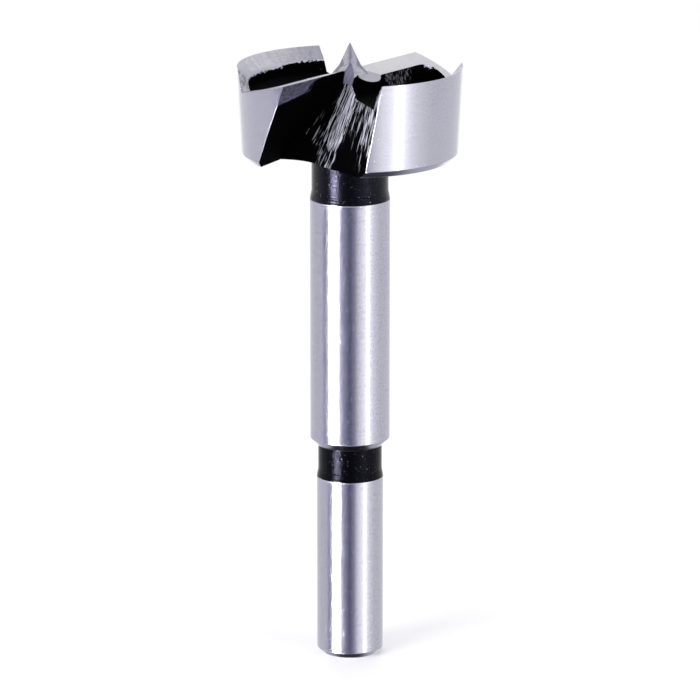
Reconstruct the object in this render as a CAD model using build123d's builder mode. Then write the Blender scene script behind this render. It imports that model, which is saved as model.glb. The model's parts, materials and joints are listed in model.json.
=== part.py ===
"""A forstner bit, the wood-boring bit that cuts a clean flat-bottomed hole.

It is one piece of steel. The shank, the neck and the head are turned about one
axis. Then the head is milled: a pocket behind each cutting edge leaves a thin
rim, and two slanting gullets carry the chips away. Last, the edges are ground:
two radial cutting edges, two spurs on the rim and the centre point. All that is
milled or ground is there twice, half a turn apart.

Millimetres. Z is the axis of the bit, with the point up and the origin at the
middle of the shank's end. The bit cuts as it turns counterclockwise, seen from
the point.
"""

import os
from math import asin, cos, degrees, radians, sin, tan

from build123d import *

# Lengths along the axis
overall_length = 88.9
lower_shank_length = 26.1
groove_width = 5.8
upper_shank_length = 34.7
point_height = 3.7
head_depth = 12.6

# Diameters of the turned steps
shank_diameter = 9.525
groove_diameter = 9.1
upper_shank_diameter = 11.4
neck_diameter = 10.9
head_diameter = 31.75

# Small turned forms
shank_end_chamfer = 0.8
shank_shoulder_cone = 1.2
upper_shank_chamfer = 1.05
neck_cone = 1.3
neck_fillet = 0.5
head_back_taper = 2.9
head_bottom_chamfer = 0.9

# Cutting edges and the ground flats behind them
edge_azimuth = 53.9
edge_lead = 0.12
land_slope = 15.0
land_width = 3.3

# Rim and spurs
rim_rise = 0.47
rim_wall = 1.62
rim_bevel = 50.0
bevel_past_wall = 0.5
bevel_past_spur = 7.5
bevel_past_rim = 15.0
spur_foot = 9.8
spur_lean = 26.5
spur_foot_fillet = 0.5

# Pocket behind each cutting edge, milled round a boss at the middle
pocket_depth = 3.1
pocket_draft = 5.0
mill_radius = 1.3
boss_radius = 1.9
boss_reach = 2.64
boss_angle = -65.4
pocket_throat = 1.95
throat_corner = 2.0
throat_splay = 44.0

# Second facet of each flat, beside the centre point
facet_slope = 19.2
facet_turn = 21.3
facet_start = 1.58
facet_setback = 0.25
facet_width = 7.6
facet_length = 5.7

# Centre point, a four-sided pyramid that flares into the head
point_half_angle = 26.0
point_shoulder = 0.6
point_flare = 40.0
point_root = 1.2
point_turn = 36.1
tip_flat = 0.06

# Gullet in plan at the level of the cutting edges: where its two faces meet the
# rim, where they start at its root, and the middle of the root
edge_rake_rim_angle = 1.3
edge_rake_start_radius = 2.09
edge_rake_start_angle = 0.8
edge_root_radius = 1.27
edge_root_angle = 39.9
edge_wall_start_radius = 2.4
edge_wall_start_angle = 61.9
edge_wall_rim_angle = 51.9

# The same at the underside of the head, where the gullet runs out past the neck
low_rake_rim_angle = -22.0
low_rake_start_clearance = 4.4
low_rake_start_angle = -44.4
low_root_clearance = 1.67
low_root_angle = -29.4
low_wall_start_clearance = 2.17
low_wall_start_angle = 4.5
low_wall_rim_angle = 43.7

# Ground facet on the rake face, along the cutting edge
rake_facet_lean = 21.5
rake_facet_start = 3.6
rake_facet_depth = 4.0

# How far a cut runs past the surface that it leaves, and the gullet's two faces,
# as a share of their length, past the rim
overrun = 1.0
gullet_reach = 1.2

# Sizes worked out from those above
shank_radius = shank_diameter / 2
groove_radius = groove_diameter / 2
upper_radius = upper_shank_diameter / 2
neck_radius = neck_diameter / 2
head_radius = head_diameter / 2
edge_height = overall_length - point_height
rim_height = edge_height + rim_rise
underside = edge_height - head_depth
groove_top = lower_shank_length + groove_width
upper_shank_top = groove_top + upper_shank_length
chamfer_height = underside + head_bottom_chamfer
chamfer_radius = head_radius - (rim_height - chamfer_height) * tan(radians(head_back_taper))
underside_radius = chamfer_radius - head_bottom_chamfer
pocket_radius = head_radius - rim_wall
tool_top = rim_rise + overrun


def plan(radius, angle):
    """A point in plan, from its radius and its angle in degrees."""
    return Vector(radius * cos(radians(angle)), radius * sin(radians(angle)))


# The first cutter's own frame: X runs out along its edge, Y is the way it cuts
outward = plan(1, edge_azimuth)
forward = plan(1, edge_azimuth + 90)
cutter_frame = Plane(origin=(0, 0, edge_height), x_dir=outward, z_dir=(0, 0, 1))

# The same cutter seen along its edge: X trails behind the edge, Y is up
end_view = Plane(origin=cutter_frame.origin, x_dir=-forward, z_dir=-outward)

# Turned blank: shank, groove, upper shank, neck and a plain head up to the rim
with BuildPart() as blank:
    with BuildSketch(Plane.XZ):
        with BuildLine():
            Polyline(
                (0, 0),
                (shank_radius - shank_end_chamfer, 0),
                (shank_radius, shank_end_chamfer),
                (shank_radius, lower_shank_length),
                (groove_radius, lower_shank_length + shank_shoulder_cone),
                (groove_radius, groove_top - upper_shank_chamfer),
                (upper_radius - upper_shank_chamfer, groove_top - upper_shank_chamfer),
                (upper_radius, groove_top),
                (upper_radius, upper_shank_top),
                (neck_radius, upper_shank_top + neck_cone),
                (neck_radius, underside),
                (underside_radius, underside),
                (chamfer_radius, chamfer_height),
                (head_radius, rim_height),
                (0, rim_height),
                close=True,
            )
        make_face()
    revolve(axis=Axis.Z)
    neck_corner = edges().filter_by(GeomType.CIRCLE).group_by(Axis.Z)[-3].sort_by(SortBy.RADIUS)[0]
    fillet(neck_corner, radius=neck_fillet)

# Relief behind the cutting edge: a sloping flat that starts at the edge, cuts a
# notch through the rim and ends at the leaning front of the spur
spur_foot_drop = spur_foot * tan(radians(land_slope))
spur_top_reach = spur_foot + (tool_top + spur_foot_drop) * tan(radians(spur_lean))
with BuildPart() as relief:
    with BuildSketch(end_view) as relief_section:
        with BuildLine():
            Polyline(
                (-edge_lead, 0),
                (spur_foot, -spur_foot_drop),
                (spur_top_reach, tool_top),
                (-edge_lead, tool_top),
                close=True,
            )
        make_face()
        foot_corner = relief_section.vertices().sort_by(Axis.Y)[0]
        fillet(foot_corner, radius=spur_foot_fillet)
    extrude(amount=head_radius + overrun, both=True)

# Second facet of the flat: a steeper plane, turned towards the centre point
facet_tilt = plan(sin(radians(facet_slope)), -90 - facet_turn)
facet_normal = outward * facet_tilt.X + forward * facet_tilt.Y + Vector(0, 0, cos(radians(facet_slope)))
facet_plane = Plane(origin=cutter_frame.from_local_coords((facet_start, 0, 0)), z_dir=facet_normal)
with BuildPart() as facet:
    with BuildSketch(cutter_frame.offset(-pocket_depth)):
        with Locations((0, -facet_setback)):
            Rectangle(facet_width, facet_length, align=(Align.CENTER, Align.MAX))
    extrude(amount=pocket_depth + tool_top)
    split(bisect_by=facet_plane, keep=Keep.TOP)

# Pocket: its floor lies inside the rim, behind the flat and round the boss. Its
# throat opens to the gullet in front of the other cutting edge and widens there
steep_height = pocket_depth - land_width * tan(radians(land_slope))
pocket_front = land_width + steep_height * tan(radians(pocket_draft))
boss_centre = plan(boss_reach, boss_angle)
with BuildPart() as pocket:
    with BuildSketch(cutter_frame.offset(-pocket_depth)) as pocket_floor:
        Circle(pocket_radius)
        with Locations((boss_centre.X, -pocket_front)):
            Rectangle(head_diameter, head_diameter, align=Align.MIN, mode=Mode.SUBTRACT)
        with Locations((boss_centre.X, -pocket_throat)):
            Rectangle(head_diameter, head_diameter, align=(Align.MAX, Align.MIN), mode=Mode.SUBTRACT)
        with Locations((-throat_corner, -pocket_throat)):
            Rectangle(
                head_diameter,
                head_diameter,
                rotation=throat_splay,
                align=(Align.MAX, Align.MIN),
                mode=Mode.SUBTRACT,
            )
        with Locations(boss_centre):
            Circle(boss_radius, mode=Mode.SUBTRACT)
        milled_corners = pocket_floor.vertices().filter_by(lambda corner: corner.X > boss_centre.X)
        fillet(milled_corners, radius=mill_radius)
    extrude(amount=pocket_depth + tool_top, taper=-pocket_draft)

# Grinding of the rim: a cone that leaves a sharp edge round the outside, from the
# trailing end of the rim to the spur
notch_angle = degrees(asin(spur_foot / head_radius))
bevel_start = edge_azimuth + edge_wall_rim_angle - 180 - bevel_past_rim
bevel_end = edge_azimuth - notch_angle + bevel_past_spur
bevel_inner = pocket_radius - bevel_past_wall
bevel_outer = head_radius + overrun
bevel_normal = plan(1, bevel_start - 90)
bevel_view = Plane(origin=cutter_frame.origin, x_dir=plan(1, bevel_start), z_dir=bevel_normal)
with BuildPart() as bevel:
    with BuildSketch(bevel_view):
        with BuildLine():
            Polyline(
                (bevel_inner, rim_rise - (head_radius - bevel_inner) * tan(radians(rim_bevel))),
                (bevel_outer, rim_rise + (bevel_outer - head_radius) * tan(radians(rim_bevel))),
                (bevel_outer, tool_top + overrun),
                (bevel_inner, tool_top + overrun),
                close=True,
            )
        make_face()
    revolve(axis=Axis.Z, revolution_arc=bevel_end - bevel_start)

# Centre point
shoulder_radius = (point_height - point_shoulder) * tan(radians(point_half_angle))
root_radius = shoulder_radius + (point_shoulder + point_root) * tan(radians(point_flare))
with BuildPart() as point:
    with BuildSketch(cutter_frame.offset(-point_root)):
        RegularPolygon(root_radius, 4, rotation=point_turn)
    with BuildSketch(cutter_frame.offset(point_shoulder)):
        RegularPolygon(shoulder_radius, 4, rotation=point_turn)
    loft(ruled=True)
    with BuildSketch(cutter_frame.offset(point_shoulder)):
        RegularPolygon(shoulder_radius, 4, rotation=point_turn)
    with BuildSketch(cutter_frame.offset(point_height)):
        RegularPolygon(tip_flat, 4, rotation=point_turn)
    loft(ruled=True)


# Corners of the gullet in plan, at the edges and at the underside of the head
at_edge = dict(
    rake_rim=plan(head_radius, edge_rake_rim_angle),
    rake_start=plan(edge_rake_start_radius, edge_rake_start_angle),
    root=plan(edge_root_radius, edge_root_angle),
    wall_start=plan(edge_wall_start_radius, edge_wall_start_angle),
    wall_rim=plan(head_radius, edge_wall_rim_angle),
)
at_underside = dict(
    rake_rim=plan(chamfer_radius, low_rake_rim_angle),
    rake_start=plan(neck_radius + low_rake_start_clearance, low_rake_start_angle),
    root=plan(neck_radius + low_root_clearance, low_root_angle),
    wall_start=plan(neck_radius + low_wall_start_clearance, low_wall_start_angle),
    wall_rim=plan(chamfer_radius, low_wall_rim_angle),
)

# Gullet: rake face, hollow root and trailing wall run straight from the level of
# the edges to the underside, so the whole gullet slants and gets shallower
with BuildPart() as gullet:
    for level in (tool_top, -head_depth - overrun):
        share = -level / head_depth
        here = {name: at_edge[name] * (1 - share) + at_underside[name] * share for name in at_edge}
        rake_out = here["rake_start"] + (here["rake_rim"] - here["rake_start"]) * gullet_reach
        wall_out = here["wall_start"] + (here["wall_rim"] - here["wall_start"]) * gullet_reach
        corner = (rake_out + wall_out).normalized() * head_radius * gullet_reach**2
        with BuildSketch(cutter_frame.offset(level)):
            with BuildLine():
                Polyline(here["wall_start"], wall_out, corner, rake_out, here["rake_start"])
                ThreePointArc(here["rake_start"], here["root"], here["wall_start"])
            make_face()
    loft(ruled=True)

# Ground facet on the rake face: it leans less than the milled face and makes the
# cutting edge
rake_slope = tan(radians(rake_facet_lean))
rake_facet_front = -edge_lead - tool_top * rake_slope - overrun
with BuildPart() as rake_facet:
    with BuildSketch(end_view.offset(-rake_facet_start)):
        with BuildLine():
            Polyline(
                (-edge_lead - tool_top * rake_slope, tool_top),
                (-edge_lead + rake_facet_depth * rake_slope, -rake_facet_depth),
                (rake_facet_front, -rake_facet_depth),
                (rake_facet_front, tool_top),
                close=True,
            )
        make_face()
    extrude(amount=-head_radius)

# The bit: every cut is made twice, half a turn apart
with BuildPart() as forstner_bit:
    add(blank.part)
    with PolarLocations(0, 2):
        add(relief.part, mode=Mode.SUBTRACT)
        add(facet.part, mode=Mode.SUBTRACT)
        add(bevel.part, mode=Mode.SUBTRACT)
    add(point.part)
    with PolarLocations(0, 2):
        add(pocket.part, mode=Mode.SUBTRACT)
        add(gullet.part, mode=Mode.SUBTRACT)
        add(rake_facet.part, mode=Mode.SUBTRACT)

forstner_bit.part.label = "forstner_bit"
os.makedirs("parts", exist_ok=True)
export_step(forstner_bit.part, "parts/forstner_bit.step")
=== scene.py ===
# %% [markdown]
# # A forstner bit in Blender
# A forstner bit bores wide, flat-bottomed holes in wood. It is one piece of
# steel: a round shank that a drill holds, a neck, and a head that does the work.
# On the real bit the ground steel is bright and the milled hollows keep the
# black skin of the heat treatment. That contrast is most of what the eye sees,
# so this lesson is mainly about the two finishes and where each one lies.
#
# The shape is already made as a solid. This script loads it, copies its mesh,
# gives the copy fine edges and its finishes, and sets up the studio.

# %% Load the packed solid as a fixed frame
import json
import math

import bmesh
import bpy
from mathutils import Matrix, Vector

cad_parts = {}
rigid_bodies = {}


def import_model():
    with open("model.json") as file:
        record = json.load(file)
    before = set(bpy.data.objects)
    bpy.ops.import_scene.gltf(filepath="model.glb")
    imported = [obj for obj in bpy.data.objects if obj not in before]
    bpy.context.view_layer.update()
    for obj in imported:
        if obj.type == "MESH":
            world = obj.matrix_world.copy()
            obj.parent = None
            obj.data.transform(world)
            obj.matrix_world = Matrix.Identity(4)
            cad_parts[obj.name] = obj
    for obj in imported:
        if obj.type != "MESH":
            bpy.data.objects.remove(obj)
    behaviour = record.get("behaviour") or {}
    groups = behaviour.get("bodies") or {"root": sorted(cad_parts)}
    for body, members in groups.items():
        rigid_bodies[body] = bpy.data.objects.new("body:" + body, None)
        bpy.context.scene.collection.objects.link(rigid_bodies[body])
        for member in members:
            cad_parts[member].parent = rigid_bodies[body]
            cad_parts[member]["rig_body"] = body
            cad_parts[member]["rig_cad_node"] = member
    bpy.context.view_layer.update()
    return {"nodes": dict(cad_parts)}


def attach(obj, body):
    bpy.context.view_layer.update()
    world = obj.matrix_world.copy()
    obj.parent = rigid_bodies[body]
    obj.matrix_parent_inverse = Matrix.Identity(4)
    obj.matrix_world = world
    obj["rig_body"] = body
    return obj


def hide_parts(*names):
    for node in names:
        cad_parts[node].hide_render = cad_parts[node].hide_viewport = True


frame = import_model()
MM = 0.001
print("nodes:", sorted(frame["nodes"]))

# %% [markdown]
# ## Sizes that the looks depend on
# A finish follows the shape, so a few sizes of the solid are needed again here:
# the heights where one turned step ends and the next begins, and the radii of
# the neck and the head. All are in millimetres, as on the drawing. The first
# cutting edge points 53.9 degrees away from +X, so it helps to think in the
# cutter's own frame, where X runs out along that edge.

# %% Heights and radii in millimetres
END_CHAMFER = 0.8
SHANK_TOP = 26.1
SHOULDER = 1.2
GROOVE_TOP = 31.9
GROOVE_CHAMFER = 1.05
UPPER_SHANK_TOP = 66.6
NECK_CONE = 1.3
NECK_RADIUS = 5.45
NECK_FILLET = 0.5
EDGE_AZIMUTH = 53.9
EDGE_HEIGHT = 85.2
HEAD_DEPTH = 12.6
HEAD_RADIUS = 15.875
CHAMFER_RADIUS = 15.258
POCKET_FLOOR = 82.1
UNDERSIDE = EDGE_HEIGHT - HEAD_DEPTH
TO_CUTTER = Matrix.Rotation(-math.radians(EDGE_AZIMUTH), 3, "Z")
print("underside of the head at", round(UNDERSIDE, 3), "mm")

# %% [markdown]
# ## The camera
# The photograph looks down on the bit by about 14 degrees, from far away with a
# long lens, so the shank hardly tapers. The distance, tilt and lens were worked
# out from the ellipses of the turned steps: an ellipse that is a quarter as high
# as it is wide is a circle seen from 14 degrees above.

# %% Place the camera where the photograph was taken from
CAMERA_DISTANCE = 0.752975
CAMERA_TILT = math.radians(13.956)
STAND_POINT = Vector((0, 0, 0.0452))
AIM_POINT = Vector((0, 0, 0.04454))
IMAGE_SIZE = 700
FOCAL_PIXELS = 5297.2

camera_data = bpy.data.cameras.new("photo_view")
camera_data.sensor_width = 36
camera_data.lens = FOCAL_PIXELS / IMAGE_SIZE * camera_data.sensor_width
camera_data.clip_start = 0.01
camera_data.clip_end = 20
camera = bpy.data.objects.new("photo_view", camera_data)
bpy.context.scene.collection.objects.link(camera)
back_and_up = Vector((0, -math.cos(CAMERA_TILT), math.sin(CAMERA_TILT)))
camera.location = STAND_POINT + CAMERA_DISTANCE * back_and_up
camera.rotation_euler = (AIM_POINT - camera.location).to_track_quat("-Z", "Y").to_euler()
bpy.context.scene.camera = camera
print("lens", round(camera_data.lens, 1), "mm")

# %% [markdown]
# ## Writing shader maths as expressions
# Blender's materials are graphs of nodes. A long formula is hard to read as
# nodes, so a small class wraps one output of a node, and +, -, * and / on it add
# the Math nodes. Every other node comes from one method, which sets the node's
# own settings first and then its inputs.

# %% A field that takes part in arithmetic
class Field:
    """A value that changes over a surface."""

    def __init__(self, graph, socket):
        self.graph = graph
        self.socket = socket

    def math(self, operation, *others):
        return self.graph.node("ShaderNodeMath", {"operation": operation}, [self, *others])

    def __add__(self, other):
        return self.math("ADD", other)

    def __sub__(self, other):
        return self.math("SUBTRACT", other)

    def __rsub__(self, other):
        return self.graph.node("ShaderNodeMath", {"operation": "SUBTRACT"}, [other, self])

    def __mul__(self, other):
        return self.math("MULTIPLY", other)

    def __truediv__(self, other):
        return self.math("DIVIDE", other)

    def over(self, other):
        """The larger of two values."""
        return self.math("MAXIMUM", other)

    def step(self, low, high):
        """0 below low and 1 above high, with a smooth way between."""
        settings = {"interpolation_type": "SMOOTHSTEP"}
        inputs = {"Value": self, "From Min": low, "From Max": high}
        return self.graph.node("ShaderNodeMapRange", settings, inputs)

    __radd__ = __add__
    __rmul__ = __mul__


print("a field can", [name for name in vars(Field) if not name.startswith("_")])


# %% A graph of nodes
class Graph:
    """The nodes of one material or of the world."""

    def __init__(self, tree):
        self.tree = tree
        tree.nodes.clear()

    def node(self, kind, settings=None, inputs=(), output=0):
        """A new node, as the field of one output, or as several fields where a list names them."""
        made = self.tree.nodes.new(kind)
        for name, value in (settings or {}).items():
            if name == "stops":
                self.fill_ramp(made.color_ramp, value)
            else:
                setattr(made, name, value)
        pairs = inputs.items() if isinstance(inputs, dict) else enumerate(inputs)
        for key, value in pairs:
            if isinstance(value, Field):
                self.tree.links.new(value.socket, made.inputs[key])
            else:
                made.inputs[key].default_value = value
        if isinstance(output, list):
            return [Field(self, made.outputs[name]) for name in output]
        return Field(self, made.outputs[output]) if made.outputs else None

    @staticmethod
    def fill_ramp(ramp, stops):
        while len(ramp.elements) < len(stops):
            ramp.elements.new(1.0)
        for element, (position, colour) in zip(ramp.elements, stops):
            element.position = position
            element.color = (*colour, 1)

    def blend(self, factor, first, second):
        """A colour between two colours."""
        return self.node("ShaderNodeMix", {"data_type": "RGBA"}, {0: factor, 6: first, 7: second}, output=2)


print("a graph can", [name for name in vars(Graph) if not name.startswith("_")])

# %% [markdown]
# ## The studio
# Polished steel has hardly any colour of its own. It shows the room. The
# photograph's bands down the shank are two bright soft boxes, left and right of
# the camera, with the dark room between them and a white sweep all round. The
# soft boxes could be lamps, but a floor would cut off their lower halves in the
# steel. Here the world carries them as bands of azimuth instead, for rays that
# come off shiny surfaces. The camera sees plain white.

# %% Bands of light round the horizon
# Each stop is an azimuth, in degrees to the right of the camera, and the level there.
BANDS = [
    (-166, 1.20),
    (-156, 0.96),
    (-92, 0.88),
    (-85, 0.78),
    (-79, 0.45),
    (-72, 0.46),
    (-64, 0.65),
    (-59.5, 1.40),
    (-57, 24.00),
    (-53.5, 70.00),
    (-42.5, 70.00),
    (-39.5, 24.00),
    (-37, 2.20),
    (-31, 1.00),
    (-25, 0.58),
    (-8, 0.27),
    (0, 0.17),
    (14, 0.43),
    (19, 0.76),
    (25, 1.12),
    (38, 1.64),
    (45, 1.85),
    (51, 2.20),
    (52, 8.00),
    (54, 8.00),
    (55, 2.20),
    (62, 1.78),
    (70, 1.38),
    (80, 1.15),
    (95, 0.96),
    (156, 0.94),
    (166, 1.20),
]
DIM_BLUE = 0.60


def band_stop(azimuth, level):
    """A stop of the ramp. The dim parts of the room are a little blue, the boxes are white."""
    blue = 1 + DIM_BLUE * (1 - min(level, 1.0))
    return azimuth / 360 + 0.5, (level, level, level * blue)


world = bpy.data.worlds.new("studio")
bpy.context.scene.world = world
world.use_nodes = True
world.cycles.sampling_method = "NONE"
sky = Graph(world.node_tree)
direction = sky.node("ShaderNodeTexCoord")
east, north, up = sky.node("ShaderNodeSeparateXYZ", inputs=[direction], output=["X", "Y", "Z"])
azimuth = east.math("ARCTAN2", north * -1)
turn = azimuth / (2 * math.pi) + 0.5
bands = sky.node("ShaderNodeValToRGB", {"stops": [band_stop(*band) for band in BANDS]}, [turn])
print(len(BANDS), "bands round the horizon")

# %% [markdown]
# The soft boxes end a little above the horizon. Higher up is a white ceiling,
# brighter at the back than at the front, and far below the room falls off to
# the dark. That is why the lands on top of the head are almost white and the
# chamfer under it is dark, though both are ground steel. Matt surfaces would
# gather all of this too, so they get one plain level instead.

# %% The ceiling, the dark below, and what each kind of ray sees
WHITE = (1, 1, 1, 1)
PLAIN_LEVEL = (0.62, 0.62, 0.64, 1)
CEILING_FRONT = (0.60, 0.60, 0.65, 1)
CEILING_BACK = (1.28, 1.28, 1.22, 1)
CEILING_TURNS = (-0.6, 0.4)
LIMIT_ABOVE_BOXES = (1.35, 1.35, 1.40)
LOW_SIDE = (0.62, 0.62, 0.70, 1)
BANDS_IN_LOW_SIDE = 0.08
UNDERFOOT = (0.05, 0.05, 0.07, 1)
# How far a ray rises or falls: 0 is level, 1 is straight up or down.
BOXES_END = (0.03, 0.12)
CEILING_STARTS = (0.20, 0.34)
LOW_SIDE_STARTS = (0.38, 0.60)
UNDERFOOT_STARTS = (0.76, 0.94)
down = up * -1
ceiling = sky.blend(north.step(*CEILING_TURNS), CEILING_FRONT, CEILING_BACK)
limited = sky.node("ShaderNodeVectorMath", {"operation": "MINIMUM"}, [bands, LIMIT_ABOVE_BOXES])
low_side = sky.blend(BANDS_IN_LOW_SIDE, LOW_SIDE, bands)
mirrored = sky.blend(up.step(*BOXES_END), bands, limited)
mirrored = sky.blend(up.step(*CEILING_STARTS), mirrored, ceiling)
mirrored = sky.blend(down.step(*LOW_SIDE_STARTS), mirrored, low_side)
mirrored = sky.blend(down.step(*UNDERFOOT_STARTS), mirrored, UNDERFOOT)
ray_kinds = ["Is Camera Ray", "Is Glossy Ray", "Is Transmission Ray"]
camera_ray, glossy_ray, clear_ray = sky.node("ShaderNodeLightPath", output=ray_kinds)
colour = sky.blend(glossy_ray.over(clear_ray), PLAIN_LEVEL, mirrored)
colour = sky.blend(camera_ray, colour, WHITE)
background = sky.node("ShaderNodeBackground", inputs={"Color": colour, "Strength": 1.0})
sky.node("ShaderNodeOutputWorld", inputs={"Surface": background})
print("the world is lit by", len(world.node_tree.nodes), "nodes")

# %% [markdown]
# Two large lamps stand where the soft boxes are, and one hangs at the back
# above. They are there for the floor: they give the bit its soft shadow. The
# steel doesn't mirror them, because the bands already stand for them.

# %% Lamps for the soft shadow
LAMP_DISTANCE = 0.8


def soft_box(name, azimuth, height, width, watts):
    """A square lamp that looks at the bit from an azimuth to the right of the camera."""
    lamp = bpy.data.lights.new(name, "AREA")
    lamp.size = width
    lamp.energy = watts
    placed = bpy.data.objects.new(name, lamp)
    bpy.context.scene.collection.objects.link(placed)
    turned = math.radians(azimuth)
    placed.location = (LAMP_DISTANCE * math.sin(turned), -LAMP_DISTANCE * math.cos(turned), height)
    placed.rotation_euler = (STAND_POINT - placed.location).to_track_quat("-Z", "Y").to_euler()
    placed.visible_glossy = False
    print(name, "shines with", watts, "W")


soft_box("left_box", azimuth=-47, height=0.5, width=0.5, watts=4.0)
soft_box("right_box", azimuth=55, height=0.5, width=0.5, watts=2.5)
soft_box("top_box", azimuth=180, height=1.1, width=0.9, watts=5.0)

# %% [markdown]
# The floor is matt near the bit, where the shadow falls. A backdrop could rise
# behind it as in a real studio, but other views would show its edge. So the
# floor becomes a white sweep further away, for the camera alone, and has no
# horizon from any side.

# %% The floor, plain and pale
FLOOR_WIDTH = 6
FLOOR_GREY = (0.86, 0.86, 0.87, 1)
FLOOR_GLOW = 0.12
SWEEP_STARTS = (0.15, 0.60)
bpy.ops.mesh.primitive_plane_add(size=FLOOR_WIDTH, location=(0, 0, 0))
floor = bpy.context.active_object
floor.name = "floor"
floor.visible_glossy = False
floor_finish = bpy.data.materials.new("pale_floor")
floor_finish.use_nodes = True
ground = Graph(floor_finish.node_tree)
for_camera = ground.node("ShaderNodeLightPath", output="Is Camera Ray")
matt = ground.node("ShaderNodeBsdfDiffuse", inputs={"Color": FLOOR_GREY})
dark = ground.node("ShaderNodeEmission", inputs={"Strength": 0.0})
glow = ground.node("ShaderNodeEmission", inputs={"Color": WHITE, "Strength": FLOOR_GLOW})
lift = ground.node("ShaderNodeMixShader", inputs=[for_camera, dark, glow])
near = ground.node("ShaderNodeAddShader", inputs=[matt, lift])
spot = ground.node("ShaderNodeTexCoord", output="Object")
away = ground.node("ShaderNodeVectorMath", {"operation": "LENGTH"}, [spot], "Value")
sweep = ground.node("ShaderNodeEmission", inputs={"Color": WHITE, "Strength": 1.0})
share = away.step(*SWEEP_STARTS) * for_camera
floor_surface = ground.node("ShaderNodeMixShader", inputs=[share, near, sweep])
ground.node("ShaderNodeOutputMaterial", inputs={"Surface": floor_surface})
floor.data.materials.append(floor_finish)
print("floor is", floor.dimensions.x, "m wide")

# %% [markdown]
# ## A copy of the solid's mesh
# The solid arrives as loose triangles. A copy of it is merged into one closed
# skin and takes its place, because the copy's edges can then be worn a little,
# as they are on steel that has been handled, and its shading can be put right.

# %% Copy and merge
cad = frame["nodes"]["forstner_bit"]
bit = cad.copy()
bit.data = cad.data.copy()
bit.name = "bit"
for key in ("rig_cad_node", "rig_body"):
    del bit[key]
bit.parent = None
bpy.context.scene.collection.objects.link(bit)
bpy.ops.object.select_all(action="DESELECT")
bit.select_set(True)
bpy.context.view_layer.objects.active = bit
bpy.ops.object.mode_set(mode="EDIT")
bpy.ops.mesh.select_all(action="SELECT")
bpy.ops.mesh.remove_doubles(threshold=1e-7)
bpy.ops.object.mode_set(mode="OBJECT")
print(len(bit.data.vertices), "points and", len(bit.data.polygons), "triangles")

# %% [markdown]
# ## Telling the surfaces apart
# On the real bit each surface was made by its own tool: the shanks were ground,
# the gullets milled, the lands ground again at the end. So each has its own
# finish. Faces could be picked by hand, but the picks would be lost with every
# change of the solid. Here a patch is all the triangles that can be reached
# without crossing a sharp edge, and the middle of a patch and the way it faces
# say which surface it is.

# %% Patches between sharp edges
SHARP = math.radians(15)


def smooth_patches(mesh):
    """Lists of the faces that no sharp edge parts."""
    skin = bmesh.new()
    skin.from_mesh(mesh)
    found = set()
    patches = []
    for first in skin.faces:
        if first.index in found:
            continue
        found.add(first.index)
        patch, waiting = [], [first]
        while waiting:
            face = waiting.pop()
            patch.append(face.index)
            for edge in face.edges:
                if edge.calc_face_angle(0) < SHARP:
                    fresh = [other for other in edge.link_faces if other.index not in found]
                    found.update(other.index for other in fresh)
                    waiting.extend(fresh)
        patches.append(patch)
    skin.free()
    return patches


patches = smooth_patches(bit.data)
print(len(patches), "patches")

# %% A name for each turned surface, from the heights where the steps end
FACES_DOWN = -0.97
HAIR = 0.001
TURNED = [
    (END_CHAMFER, "end_chamfer"),
    (SHANK_TOP, "shank"),
    (SHANK_TOP + SHOULDER, "shoulder"),
    (GROOVE_TOP - GROOVE_CHAMFER, "groove"),
    (GROOVE_TOP, "groove_chamfer"),
    (UPPER_SHANK_TOP, "upper_shank"),
    (UPPER_SHANK_TOP + NECK_CONE, "neck_cone"),
    (UNDERSIDE - NECK_FILLET, "neck"),
    (UNDERSIDE - HAIR, "neck_fillet"),
]


def turned_name(face):
    """The surface of the blank that a triangle belongs to."""
    height = face.center.z / MM
    if face.normal.z > FACES_DOWN:
        return next((name for top, name in TURNED if height < top), "underside")
    if height < END_CHAMFER:
        return "end"
    return "groove_ring" if height < GROOVE_TOP else "underside"


print(len(TURNED), "steps from the end to the head")

# %% A name for each surface of the head, from how far up it faces
# Each has the most that its mean normal leans up: 1 is straight up, -1 straight down.
MILLED = [
    (-0.6, "head_chamfer"),
    (-0.3, "rake"),
    (0.0, "head_side"),
    (0.2, "pocket_wall"),
    (0.45, "gullet"),
    (0.6, "point"),
    (0.7, "bevel"),
    (0.98, "land"),
    (1.1, "pocket_floor"),
]
HEAD_START = UNDERSIDE + 0.1
POINT_RADIUS = 2.6
POINT_START = EDGE_HEIGHT - 0.3
# Spurs lean less than the land, and rake facets lean less far down than the rake.
SPUR_LEAN = 0.93
SECOND_LEAN = 0.02
FACET_LEAN = -0.39
FACET_DEPTH = 4.2


def milled_name(centre, normal):
    """The surface of the head that a patch is, from its middle and its mean normal."""
    if math.hypot(centre.x, centre.y) < POINT_RADIUS and centre.z > POINT_START:
        return "point"
    return next(name for top, name in MILLED if normal.z < top)


def ground_name(name, face):
    """The surface of a triangle, since lands and rakes hold smaller ground faces."""
    if name == "land" and face.normal.z < SPUR_LEAN:
        return "spur"
    if name == "land" and abs((TO_CUTTER @ face.normal).x) >= SECOND_LEAN:
        return "second_land"
    if name == "rake" and face.normal.z > FACET_LEAN and face.center.z / MM > EDGE_HEIGHT - FACET_DEPTH:
        return "rake_facet"
    return name


names = [""] * len(bit.data.polygons)
for patch in patches:
    faces = [bit.data.polygons[index] for index in patch]
    area = sum(face.area for face in faces)
    centre = sum((face.center * face.area for face in faces), Vector()) / area / MM
    normal = sum((face.normal * face.area for face in faces), Vector()) / area
    for face in faces:
        if centre.z < HEAD_START:
            names[face.index] = turned_name(face)
        else:
            names[face.index] = ground_name(milled_name(centre, normal), face)
SURFACES = sorted(set(names))
print({name: names.count(name) for name in SURFACES})

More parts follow.
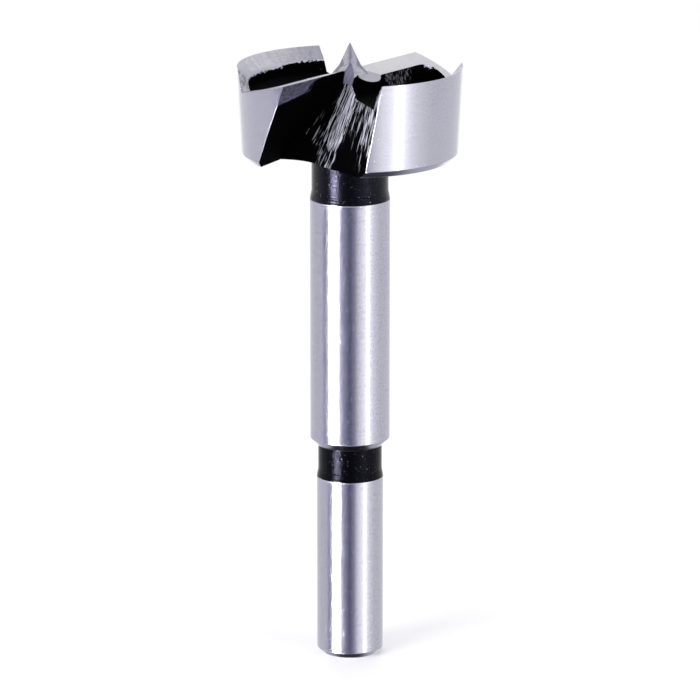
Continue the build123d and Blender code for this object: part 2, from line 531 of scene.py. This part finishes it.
# %% [markdown]
# ## Edges worn by handling
# No edge that is handled stays perfectly sharp: the corners of the turned steps
# and of the gullets shine as hair-thin lines. A bevel narrower than a tenth of a
# millimetre makes them. The cutting edges, the spurs and the point are left out,
# because a forstner bit lives by those being sharp.

# %% Give each surface a slot, and merge the flat triangles
WORN_EDGE = "worn_edge"
EDGE_SLOT = len(SURFACES)
FLAT = math.radians(0.05)
bit.data.materials.clear()
for name in SURFACES + [WORN_EDGE]:
    bit.data.materials.append(bpy.data.materials.new(name))
bit.data.polygons.foreach_set("material_index", [SURFACES.index(name) for name in names])
bpy.ops.object.mode_set(mode="EDIT")
bpy.ops.mesh.select_mode(type="EDGE")
bpy.ops.mesh.select_all(action="SELECT")
bpy.ops.mesh.dissolve_limited(angle_limit=FLAT, delimit={"MATERIAL"})
bpy.ops.mesh.select_all(action="DESELECT")
print(len(SURFACES), "surfaces have a slot")

# %% Choose the worn edges and bevel them
WORN = [
    {"end", "end_chamfer"},
    {"end_chamfer", "shank"},
    {"shank", "shoulder"},
    {"groove_ring", "groove_chamfer"},
    {"groove_chamfer", "upper_shank"},
    {"upper_shank", "neck_cone"},
    {"underside", "head_chamfer"},
    {"head_chamfer", "head_side"},
    {"gullet", "head_side"},
    {"rake", "head_side"},
    {"rake", "head_chamfer"},
]
WORN_WIDTH = 0.07 * MM
skin = bmesh.from_edit_mesh(bit.data)
for edge in skin.edges:
    edge.select = {SURFACES[face.material_index] for face in edge.link_faces} in WORN
bmesh.update_edit_mesh(bit.data)
bpy.ops.mesh.bevel(offset=WORN_WIDTH, segments=1, affect="EDGES", clamp_overlap=False, material=EDGE_SLOT)
bpy.ops.object.mode_set(mode="OBJECT")
strips = [face for face in bit.data.polygons if face.material_index == EDGE_SLOT]
print(len(strips), "faces of worn edge,", round(sum(face.area for face in strips) / MM**2, 1), "mm2")

# %% [markdown]
# ## Shading that follows the true surface
# The bit is round, but its mesh is made of long flat slivers, and averaged
# normals would make its reflections splinter. Every turned surface has a simple
# rule instead: its normal points straight away from the axis, tilted by the
# slope of the step. The other surfaces average only within themselves. A worn
# edge takes the normal of the surface that it borders on each side, so it looks
# rounded.

# %% The normal of a turned surface at a point
ROUND = [name for _, name in TURNED] + ["head_chamfer", "head_side", "bevel"]
mesh = bit.data
face_names = [(SURFACES + [WORN_EDGE])[face.material_index] for face in mesh.polygons]
slopes = {}
for name in ROUND:
    faces = [face for face, known in zip(mesh.polygons, face_names) if known == name]
    slopes[name] = sum(face.normal.z * face.area for face in faces) / sum(face.area for face in faces)


def round_normal(name, point):
    """Away from the axis, or towards it on the bevel, and up by the slope of the surface."""
    outward = Vector((point.x, point.y, 0)).normalized()
    if name == "neck_fillet":
        middle = outward * (NECK_RADIUS + NECK_FILLET) + Vector((0, 0, UNDERSIDE - NECK_FILLET))
        return (middle - point / MM).normalized()
    rise = slopes[name]
    side = -1 if name == "bevel" else 1
    return outward * side * math.sqrt(1 - rise**2) + Vector((0, 0, rise))


print("slopes:", {name: round(slope, 2) for name, slope in slopes.items()})


# %% A normal for each surface that meets at a point
def corner_angle(face, corner):
    here = mesh.vertices[face.vertices[corner]].co
    before = mesh.vertices[face.vertices[corner - 1]].co - here
    after = mesh.vertices[face.vertices[(corner + 1) % len(face.vertices)]].co - here
    return before.angle(after, 0)


gathered = {}
for face, name in zip(mesh.polygons, face_names):
    for corner, vertex in enumerate(face.vertices):
        weighted = face.normal * corner_angle(face, corner)
        gathered[vertex, name] = gathered.get((vertex, name), Vector()) + weighted
by_vertex = {}
for (vertex, name), total in gathered.items():
    point = mesh.vertices[vertex].co
    normal = round_normal(name, point) if name in ROUND else total.normalized()
    by_vertex.setdefault(vertex, {})[name] = normal
print(len(gathered), "normals at", len(by_vertex), "points")

# %% Write a normal for every corner of every face
corner_normals = []
for face, name in zip(mesh.polygons, face_names):
    for vertex in face.vertices:
        known = by_vertex[vertex]
        if name == WORN_EDGE and len(known) > 1:
            total = sum((normal for other, normal in known.items() if other != WORN_EDGE), Vector())
            corner_normals.append(total.normalized())
        else:
            corner_normals.append(known[name])
mesh.polygons.foreach_set("use_smooth", [True] * len(mesh.polygons))
mesh.normals_split_custom_set(corner_normals)
print(len(corner_normals), "corner normals")

# %% [markdown]
# ## Tool marks along the gullet
# The milling cutter left fine marks that run down the gullet and fan out from
# under the centre point. To draw them, each corner of the mesh is told where it
# lies: how far across the marks, and how far down along them. Unwrapping could
# give such a map, but not its direction. The gullet is ruled from the cutting
# edge to the underside, so a point's share of the outline in plan stays the same
# all along one mark.


# %% The outline of a gullet in plan, at the cutting edge and at the underside
def polar(radius, degrees):
    turned = math.radians(degrees)
    return Vector((radius * math.cos(turned), radius * math.sin(turned), 0))


AT_EDGE = [
    polar(HEAD_RADIUS, 1.3),
    polar(2.09, 0.8),
    polar(1.27, 39.9),
    polar(2.4, 61.9),
    polar(HEAD_RADIUS, 51.9),
]
AT_UNDERSIDE = [
    polar(CHAMFER_RADIUS, -22),
    polar(NECK_RADIUS + 4.4, -44.4),
    polar(NECK_RADIUS + 1.67, -29.4),
    polar(NECK_RADIUS + 2.17, 4.5),
    polar(CHAMFER_RADIUS, 43.7),
]
# How wide the three parts of a gullet's outline count on the map of the marks.
RAKE_WIDTH = 13.0
ROOT_WIDTH = 5.0
WALL_WIDTH = 12.0


def circle_through(a, b, c):
    """Centre and radius of the circle through three points in plan."""
    ab, ac = b - a, c - a
    doubled = 2 * (ab.x * ac.y - ab.y * ac.x)
    x = (ac.y * ab.length_squared - ab.y * ac.length_squared) / doubled
    y = (ab.x * ac.length_squared - ac.x * ab.length_squared) / doubled
    return a + Vector((x, y, 0)), math.hypot(x, y)


print("a gullet is", RAKE_WIDTH + ROOT_WIDTH + WALL_WIDTH, "mm wide on the map")


# %% The place of a point on the marks
def marks_at(point):
    """How far across and along the tool marks of its gullet a point lies, in millimetres."""
    depth = EDGE_HEIGHT - point.z
    corners = [edge.lerp(below, depth / HEAD_DEPTH) for edge, below in zip(AT_EDGE, AT_UNDERSIDE)]
    rake_rim, rake_start, root, wall_start, wall_rim = corners
    flat = Vector((point.x, point.y, 0))
    found = []
    straights = [(rake_start, rake_rim, 0, -RAKE_WIDTH), (wall_start, wall_rim, ROOT_WIDTH, WALL_WIDTH)]
    for start, end, across, width in straights:
        share = (flat - start).dot(end - start) / (end - start).length_squared
        if share > 0:
            found.append(((flat - start.lerp(end, share)).length, across + share * width))
    middle, radius = circle_through(rake_start, root, wall_start)
    whole = (rake_start - middle).angle(root - middle) + (root - middle).angle(wall_start - middle)
    turned = min((rake_start - middle).angle(flat - middle), whole)
    found.append((abs((flat - middle).length - radius), turned / whole * ROOT_WIDTH))
    return min(found)[1], depth


marks = mesh.attributes.new("marks", "FLOAT_VECTOR", "CORNER")
places = [0.0] * (3 * len(mesh.loops))
for face, name in zip(mesh.polygons, face_names):
    if name not in ("gullet", "rake"):
        continue
    side = 1 if (TO_CUTTER @ face.center).x > 0 else -1
    for loop, vertex in zip(face.loop_indices, face.vertices):
        point = TO_CUTTER @ mesh.vertices[vertex].co / MM
        front = Vector((point.x * side, point.y * side, point.z))
        places[3 * loop : 3 * loop + 2] = marks_at(front)
marks.data.foreach_set("vector", places)
print("marks reach from", round(min(places[::3]), 1), "to", round(max(places[::3]), 1), "mm across")

# %% [markdown]
# ## Finishes
# Every finish is told where a point lies on the bit, in millimetres, and draws
# a fine relief with it. A Bump node turns the relief into tilted normals. The
# relief is in millimetres too, so that a scratch is as deep as a real scratch.
# Pictures of steel could be laid over the bit instead, but they would need
# seams, and noise that is worked out at each point has none.

# %% Which surface gets which finish
FINISHES = {
    "ground_steel": ["shank", "upper_shank", "end_chamfer", "groove_chamfer"],
    "head_steel": ["head_side", "head_chamfer"],
    "satin_steel": ["land"],
    "point_steel": ["point"],
    "faced_steel": ["end"],
    "bevel_steel": ["bevel"],
    "second_steel": ["second_land"],
    "bright_edge": [WORN_EDGE],
    "spur_steel": ["spur"],
    "facet_steel": ["rake_facet"],
    "neck_black": ["neck", "neck_cone", "neck_fillet"],
    "groove_black": ["groove", "groove_ring", "shoulder"],
    "rough_black": ["underside"],
    "gullet_black": ["gullet", "rake"],
    "pocket_black": ["pocket_floor", "pocket_wall"],
}
print(len(FINISHES), "finishes for", len(SURFACES) + 1, "surfaces")


# %% Helpers that all finishes share
def stretch(graph, place, x, y, z):
    """A place for a pattern that has x, y and z features to the unit of the place."""
    return graph.node("ShaderNodeVectorMath", {"operation": "MULTIPLY"}, [place, (x, y, z)])


def start_finish(name):
    """A new material, and the place of a point on the bit in millimetres."""
    material = bpy.data.materials.new(name)
    material.use_nodes = True
    graph = Graph(material.node_tree)
    place = graph.node("ShaderNodeTexCoord", output="Object")
    return graph, stretch(graph, place, 1 / MM, 1 / MM, 1 / MM)


def grain(graph, place, detail=2.0, roughness=0.5):
    """Soft noise between 0 and 1 with features about one unit wide."""
    inputs = {"Vector": place, "Scale": 1.0, "Detail": detail, "Roughness": roughness}
    return graph.node("ShaderNodeTexNoise", {"noise_dimensions": "3D"}, inputs)


def split(graph, place, *names):
    """Some coordinates of a place."""
    return graph.node("ShaderNodeSeparateXYZ", inputs=[place], output=list(names))


def radius_from(x, y):
    """How far from the axis."""
    return (x * x + y * y).math("SQRT")


def relief(graph, height):
    """A normal for a height in millimetres."""
    return graph.node("ShaderNodeBump", inputs={"Strength": 1.0, "Distance": MM, "Height": height})


def end_finish(graph, **inputs):
    named = {name.replace("_", " "): value for name, value in inputs.items()}
    surface = graph.node("ShaderNodeBsdfPrincipled", inputs=named)
    graph.node("ShaderNodeOutputMaterial", inputs={"Surface": surface})


print("helpers are ready")

# %% [markdown]
# ### Ground steel
# The shanks and the outside of the head were ground between centres. Grinding
# leaves fine lines round the bit, which are lines of equal height, so noise that
# is squeezed along Z draws them. Handling adds pits and short scratches. They
# hardly change the colour of the steel. They show because their tilted sides
# mirror another part of the room.

# %% Relief and dullness of ground steel
DENT_DEPTH = 0.0025
# Each direction has a turn and its axis, and the length and width of its scratches in millimetres.
SCRATCHES = [
    (0.7, (0, 1, 0.2), 1.0, 0.14),
    (2.1, (0.3, 1, 0), 0.8, 0.13),
    (1.5, (1, 0, 0), 1.2, 0.14),
]


def scratches(graph, place, turn, axis, length, width, least):
    """Short scratches in one direction: 1 on a scratch and 0 beside it."""
    inputs = {"Vector": place, "Axis": axis, "Angle": turn}
    turned = graph.node("ShaderNodeVectorRotate", {"rotation_type": "AXIS_ANGLE"}, inputs)
    drawn_out = stretch(graph, turned, 1 / width, 1 / length, 1 / width)
    return grain(graph, drawn_out, 0.0).step(least, least + 0.05)


def steel_relief(graph, place, across, lines, grit, least):
    """Lines across the Z of one place and grit, as deep as said in millimetres.

    Pits and scratches lie where noise passes least, and are given back as well.
    """
    ground = grain(graph, stretch(graph, across, 0.25, 0.25, 6.0), 2.0, 0.6)
    grey = grain(graph, stretch(graph, place, 3.4, 3.4, 3.4), 1.0)
    dents = grain(graph, stretch(graph, place, 3.6, 3.6, 3.6), 0.0).step(least, least + 0.07)
    for turn, axis, length, width in SCRATCHES:
        dents = dents.over(scratches(graph, place, turn, axis, length, width, least))
    return ground * lines + grey * grit - dents * DENT_DEPTH, dents


def steel_dullness(graph, place, across, fine):
    """How dull the steel is: broad clouds, and lines and grains as strong as fine."""
    clouds = grain(graph, stretch(graph, place, 0.16, 0.16, 0.10), 3.0)
    rings = grain(graph, stretch(graph, across, 0.5, 0.5, 5.0), 2.0, 0.6) - 0.5
    grains = grain(graph, stretch(graph, place, 4.4, 4.4, 4.4), 1.0) - 0.5
    return clouds, clouds.step(0.42, 0.80) * 0.5 + (rings * 1.2 + grains * 2.0) * fine


print("steel has scratches in", len(SCRATCHES), "directions")

# %% [markdown]
# The same finish serves every bright surface. The lands were ground with a
# coarser wheel and look satin. The bevelled rim shows the strokes of the wheel
# that went over it, and the shank's end has the rings of a facing cut. The
# second land and the point look darker because they face the room at another
# slant, so their darker steel is painted shade.

# %% Ground steel
STEEL = (0.463, 0.458, 0.525, 1)
STEEL_DULL = (0.405, 0.398, 0.472, 1)
LAND = (0.44, 0.435, 0.50, 1)
LAND_DULL = (0.38, 0.375, 0.45, 1)
BEVEL_DULL = (0.36, 0.355, 0.42, 1)
# Painted shade: darker copies of the ground steel for the second land and the point, which face the room at
# another slant.
SHADED_SECOND_LAND = (0.32, 0.315, 0.38, 1)
SHADED_POINT = (0.37, 0.365, 0.44, 1)
SHADED_DULL = (0.28, 0.275, 0.34, 1)
STROKES = 15
STROKE_CONTRAST = 3.5


def wheel_strokes(graph, x, y, z):
    """Strokes over the rim: noise that changes quickly round the bit and slowly up it."""
    turned = graph.node("ShaderNodeCombineXYZ", inputs=[y.math("ARCTAN2", x) * STROKES, z * 0.25, 0.0])
    return (grain(graph, turned, 2.0, 0.6) - 0.5) * STROKE_CONTRAST + 0.15


def ground_steel(name, lines, grit, least, fine, roughness, bright=STEEL, dull=STEEL_DULL, marked=""):
    """Steel that was ground round the bit, or is marked by strokes over a rim or by facing rings."""
    graph, place = start_finish(name)
    x, y, z = split(graph, place, "X", "Y", "Z")
    across = place
    if marked == "rings":
        across = graph.node("ShaderNodeCombineXYZ", inputs=[0.0, 0.0, radius_from(x, y)])
    clouds, dullness = steel_dullness(graph, place, across, fine)
    if marked == "strokes":
        dullness = dullness + wheel_strokes(graph, x, y, z)
    height, dents = steel_relief(graph, place, across, lines, grit, least)
    end_finish(
        graph,
        Base_Color=graph.blend(dullness, bright, dull),
        Metallic=1.0,
        Roughness=clouds * 0.06 + (roughness - 0.03) + dents * 0.16,
        Normal=relief(graph, height),
    )


# How deep lines and grit are in millimetres, what noise makes a dent, and how strong fine marks are.
shank = {"lines": 0.0014, "grit": 0.0036, "least": 0.81, "fine": 2.4, "roughness": 0.145}
head = {"lines": 0.0018, "grit": 0.0012, "least": 0.97, "fine": 1.3, "roughness": 0.165}
land = {"lines": 0.0050, "grit": 0.0060, "least": 0.84, "fine": 1.8, "roughness": 0.27}
second_land = land | {"fine": 1.4}
point = {"lines": 0.0040, "grit": 0.0030, "least": 0.88, "fine": 1.6, "roughness": 0.20}
bevel = {"lines": 0.0080, "grit": 0.0060, "least": 0.86, "fine": 1.6, "roughness": 0.30}
faced = {"lines": 0.0080, "grit": 0.0040, "least": 0.80, "fine": 1.5, "roughness": 0.30}
worn = {"lines": 0.0010, "grit": 0.0010, "least": 0.95, "fine": 0.5, "roughness": 0.28}
ground_steel("ground_steel", **shank)
ground_steel("head_steel", **head)
ground_steel("satin_steel", **land, bright=LAND, dull=LAND_DULL)
# Painted shade: the second land and the point get the darker copies of the steel.
ground_steel("second_steel", **second_land, bright=SHADED_SECOND_LAND, dull=SHADED_DULL)
ground_steel("point_steel", **point, bright=SHADED_POINT, dull=SHADED_DULL)
ground_steel("bevel_steel", **bevel, dull=BEVEL_DULL, marked="strokes")
ground_steel("faced_steel", **faced, marked="rings")
ground_steel("bright_edge", **worn)
print("ground steel is", [round(value, 2) for value in STEEL[:3]])

# %% [markdown]
# ### Mottled steel
# The spurs and the narrow ground facets under the cutting edges were touched by
# the wheel only lightly. Bright steel and the dark skin are mixed there in
# small flecks. Roughness alone wouldn't show them, because the two differ in
# colour, so noise mixes the colours.

# %% Mottled steel
SKIN_FLECK = (0.01, 0.01, 0.014, 1)
SPUR_DARK = (0.22, 0.215, 0.25, 1)
SPUR_LIGHT = (0.46, 0.455, 0.52, 1)
FACET_DARK = (0.048, 0.048, 0.080, 1)
FACET_LIGHT = (0.122, 0.122, 0.185, 1)


def mottled_steel(name, dark, light, size, flecks):
    """Spots of two greys, size of them to the millimetre, and skin where noise passes flecks."""
    graph, place = start_finish(name)
    spots = grain(graph, stretch(graph, place, size, size, size), 2.0, 0.6)
    skin = grain(graph, stretch(graph, place, 2.6, 2.6, 2.6), 1.0).step(flecks, flecks + 0.06)
    ground, _ = steel_relief(graph, place, place, lines=0.002, grit=0.004, least=0.9)
    end_finish(
        graph,
        Base_Color=graph.blend(skin, graph.blend(spots.step(0.38, 0.62), dark, light), SKIN_FLECK),
        Metallic=0.6,
        Roughness=0.42,
        Normal=relief(graph, spots * 0.006 + ground),
    )


mottled_steel("spur_steel", SPUR_DARK, SPUR_LIGHT, size=2.2, flecks=0.74)
mottled_steel("facet_steel", FACET_DARK, FACET_LIGHT, size=1.9, flecks=0.72)
print("mottled steel is ready")

# %% [markdown]
# ### Black skin
# The neck and the groove were turned and then hardened, which left a thin black
# skin. It is glossy, but fine rings of the lathe and a grain like sand break up
# whatever it mirrors, so that its highlights are streaked and have ragged edges.
# A rough surface would blur the highlights evenly. Rings and sand as a relief
# keep them bright. Here and there the skin is worn through to the steel.

# %% Black skin
BLACK = (0.0010, 0.0010, 0.0014, 1)
BLUE_SHEEN = (0.66, 0.66, 1.0, 1)
RING_PITCH = 0.34
RING_WOBBLE = 6.0
WORN_THROUGH = 0.4


def black_skin(name, rings, sand, worn, index, roughness):
    """Skin with rings and sand as deep as said, worn through to the steel where noise passes worn."""
    graph, place = start_finish(name)
    height = split(graph, place, "Z")[0]
    wobble = grain(graph, stretch(graph, place, 0.5, 0.5, 2.0), 1.0)
    phase = height * (2 * math.pi / RING_PITCH) + wobble * RING_WOBBLE
    turned = phase.math("SINE") * 0.5 + 0.5
    grains = grain(graph, stretch(graph, place, 4.2, 4.2, 4.2), 1.0)
    flecks = grain(graph, stretch(graph, place, 3.0, 3.0, 4.0), 2.0, 0.6).step(worn, worn + 0.08)
    bare = flecks * WORN_THROUGH
    end_finish(
        graph,
        Base_Color=graph.blend(bare, BLACK, STEEL_DULL),
        Metallic=bare,
        Roughness=(turned * 0.7 + wobble * 0.5).step(0.30, 0.90) * 0.13 + roughness,
        IOR=index,
        Specular_Tint=BLUE_SHEEN,
        Normal=relief(graph, turned * rings + grains * sand),
    )


black_skin("neck_black", rings=0.024, sand=0.034, worn=0.66, index=1.26, roughness=0.06)
black_skin("groove_black", rings=0.020, sand=0.040, worn=0.66, index=1.175, roughness=0.08)
black_skin("rough_black", rings=0.0, sand=0.060, worn=0.74, index=1.05, roughness=0.55)
print("rings every", RING_PITCH, "mm")

# %% [markdown]
# ### The gullet
# The gullet is black too, but the milling cutter rubbed it bright in a fan of
# long streaks under the centre point, and in straight streaks beside the right
# rim. Where the root meets the point, a small clean facet was ground, and the
# cutting edge has a grey lip near the rim. All of it is drawn in the place on
# the marks: across them and along them. Noise that is stretched along the marks
# makes the streaks, because a painted picture would blur from close by. The
# numbers are places on the marks in millimetres, and strengths from 0 to 1.

# %% Where the cutter rubbed the gullet
FAN_START, FAN_END = 2.3, 9.0
FAN_NARROWS = 2.7
FAN_LEAN = 0.17
FRINGE_WIDTH = 1.7
LONG_STREAKS = (12.8, 13.6)


def rubbed_gullet(across, along, coarse, ragged):
    """How strongly the cutter rubbed: the fan, a weak fringe left of it, and the wall beside the rim."""
    left = FAN_START + along.step(8.5, 11.5) * FAN_NARROWS + ragged * 1.4
    right = FAN_END - (along - 4.0) * FAN_LEAN + ragged * 1.4
    left_of_wall = (right - across).step(-0.2, 0.6)

    # The fan is strongest on its right and fades downwards.
    fan = (across - left).step(0.0, 0.8) * left_of_wall
    fan = fan * (across.step(3.0, 6.0) * 0.35 + 0.65) * (1 - along.step(8.0, 12.8) * 0.40)
    fringe = (across - left + FRINGE_WIDTH).step(0.0, 0.6) * left_of_wall * along.step(5.0, 9.0) * 0.30

    # The wall's streaks end at many heights, and reach further down towards the rim.
    wall_end = across.step(*LONG_STREAKS) * 2.6 + 7.4 + (coarse - 0.5) * 10.0
    wall = (across - right).step(-0.3, 0.4) * (wall_end - along).step(-1.0, 2.2)
    wall = wall * (0.52 + across.step(12.9, 13.3) * 0.26)
    return fan.over(wall).over(fringe)


print("the fan of streaks reaches from", FAN_START, "to", FAN_END, "mm across")

# %% The facet, the lip and the worn lower edge
FACET_END = 1.9
LIP_DEPTH = 2.95
LIP_NARROWS = 0.13
LOWER_EDGE = 12.40


def clean_facet(across, along, fine, ragged):
    """The small facet where the root meets the point, with streaks of its own."""
    above = (FACET_END - along + ragged * 0.5).step(0.0, 0.15)
    facet = above * (across - 1.1 - along * 0.6).step(0.0, 0.2) * (5.6 - across).step(0.0, 0.2)
    return facet * ((fine - 0.5) * 1.4 + 0.9)


def grey_lip(across, along, ragged):
    """A strip under the cutting edge, which narrows from the rim inwards and ends raggedly halfway."""
    lip = (LIP_DEPTH - (across + 12.8) * LIP_NARROWS - along + ragged * 0.3).step(0.0, 0.12)
    return lip * (ragged * 2.5 - 5.6 - across).step(0.0, 1.2)


def worn_lower_edge(across, along, dots, ragged):
    """Flecks along the lower edge of the rake."""
    low = (along + ragged * 0.6 - LOWER_EDGE).step(0.0, 0.1) * (1.0 - across).step(0.0, 2.0)
    return low * dots.step(0.58, 0.68) * 0.25


print("the lip is", LIP_DEPTH, "mm deep at the rim")

# %% Streaks of bright steel in the gullet
RUBBED = (0.86, 0.86, 1.0, 1)
GREY_FACET = (0.20, 0.20, 0.29, 1)


def gullet_black(name):
    graph, place = start_finish(name)
    marked = graph.node("ShaderNodeAttribute", {"attribute_name": "marks"}, output="Vector")
    across, along = split(graph, marked, "X", "Y")
    fine = grain(graph, stretch(graph, marked, 4.2, 0.38, 1.0), 1.0, 0.7)
    coarse = grain(graph, stretch(graph, marked, 1.7, 0.25, 1.0), 1.0)
    ragged = grain(graph, stretch(graph, marked, 1.5, 1.2, 1.0), 1.0) - 0.5
    dots = grain(graph, stretch(graph, place, 3.4, 3.4, 3.4), 1.0)
    rubbed = rubbed_gullet(across, along, coarse, ragged)
    streaks = (fine * 1.3 + coarse * 0.3 + rubbed * 0.20 - 0.95).step(0.0, 0.07) * rubbed
    bright = streaks.over(worn_lower_edge(across, along, dots, ragged))
    mottled = graph.blend(dots.step(0.35, 0.65), FACET_DARK, FACET_LIGHT)
    colour = graph.blend(grey_lip(across, along, ragged), graph.blend(bright, BLACK, RUBBED), mottled)
    end_finish(
        graph,
        Base_Color=graph.blend(clean_facet(across, along, fine, ragged), colour, GREY_FACET),
        Metallic=bright * 0.3,
        Roughness=0.60 - streaks * 0.2,
        IOR=1.03,
        Normal=relief(graph, fine * 0.016 + dots * 0.012),
    )


gullet_black("gullet_black")
print("the gullet has", len(bpy.data.materials["gullet_black"].node_tree.nodes), "nodes")

# %% [markdown]
# ### The pockets
# The pockets that clear the chips behind the cutting edges kept their skin on
# the floor and low on the walls. The wheel that ground the bevel above also
# rubbed the top of the outer wall, and stopped at a ragged border. That border
# is a height that noise moves up and down. It is a little higher towards the
# ends of the wall, where the wheel ran out. Sparse grey flecks lie all over the
# pockets. On the wall under the land more of them are painted, as a painted
# speckled reflection of the right soft box.

# %% Pocket skin with a rubbed rim
RUBBED_DOWN_TO = 83.3
RUBBED_HIGHER = 0.44
RUBBED_SIDE = tuple(polar(1, EDGE_AZIMUTH + 108))
OUTER_WALL = (13.3, 13.6)
FLECK_AND_SHEEN_STRENGTH = 0.17


def pocket_black(name):
    graph, place = start_finish(name)
    x, y, z = split(graph, place, "X", "Y", "Z")
    radius = radius_from(x, y)
    ragged = grain(graph, stretch(graph, place, 1.8, 1.8, 3.6), 2.0, 0.6) - 0.5
    dots = grain(graph, stretch(graph, place, 3.8, 3.8, 3.8), 2.0, 0.6)
    dashes = grain(graph, stretch(graph, place, 3.4, 3.4, 1.3), 2.0, 0.6)
    dot_product = {"operation": "DOT_PRODUCT"}
    along_side = graph.node("ShaderNodeVectorMath", dot_product, [place, RUBBED_SIDE], "Value")
    middle_of_wall = along_side.math("ABSOLUTE").step(11.4, 12.9)
    border = (1 - middle_of_wall) * RUBBED_HIGHER + RUBBED_DOWN_TO
    rubbed = (z + ragged * 1.3 - border).step(0.0, 0.08) * radius.step(*OUTER_WALL)
    off_floor = z.step(POCKET_FLOOR + 0.05, POCKET_FLOOR + 0.15)
    # Painted reflection: extra grey flecks on the wall under the land stand for the speckled reflection of
    # the right soft box.
    painted_sheen_under_land = radius.step(4.6, 5.4) * (1 - radius.step(9.5, 12.0)) * off_floor
    bright = rubbed.over((dashes + painted_sheen_under_land * 0.22).step(0.68, 0.86) * FLECK_AND_SHEEN_STRENGTH)
    end_finish(
        graph,
        Base_Color=graph.blend(bright, BLACK, RUBBED),
        Metallic=bright * 0.4,
        Roughness=0.60,
        IOR=1.03,
        Normal=relief(graph, dots * 0.02),
    )


pocket_black("pocket_black")
print("pocket walls are rubbed down to", RUBBED_DOWN_TO, "mm")

# %% [markdown]
# ## Every surface gets its finish
# The surfaces served as material slots so far. Here each slot takes the
# finish of its surface, and the list of slots shrinks to the finishes.

# %% Swap the surfaces for their finishes
for name in SURFACES + [WORN_EDGE]:
    bpy.data.materials.remove(bpy.data.materials[name])
finish_of = {surface: finish for finish, surfaces in FINISHES.items() for surface in surfaces}
order = list(FINISHES)
mesh.materials.clear()
for finish in order:
    mesh.materials.append(bpy.data.materials[finish])
mesh.polygons.foreach_set("material_index", [order.index(finish_of[name]) for name in face_names])
mesh.update()
print({finish: sum(face_names.count(name) for name in surfaces) for finish, surfaces in FINISHES.items()})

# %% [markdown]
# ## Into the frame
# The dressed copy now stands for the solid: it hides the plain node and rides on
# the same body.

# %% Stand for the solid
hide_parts("forstner_bit")
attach(bit, "root")
bpy.context.scene.view_settings.view_transform = "Standard"
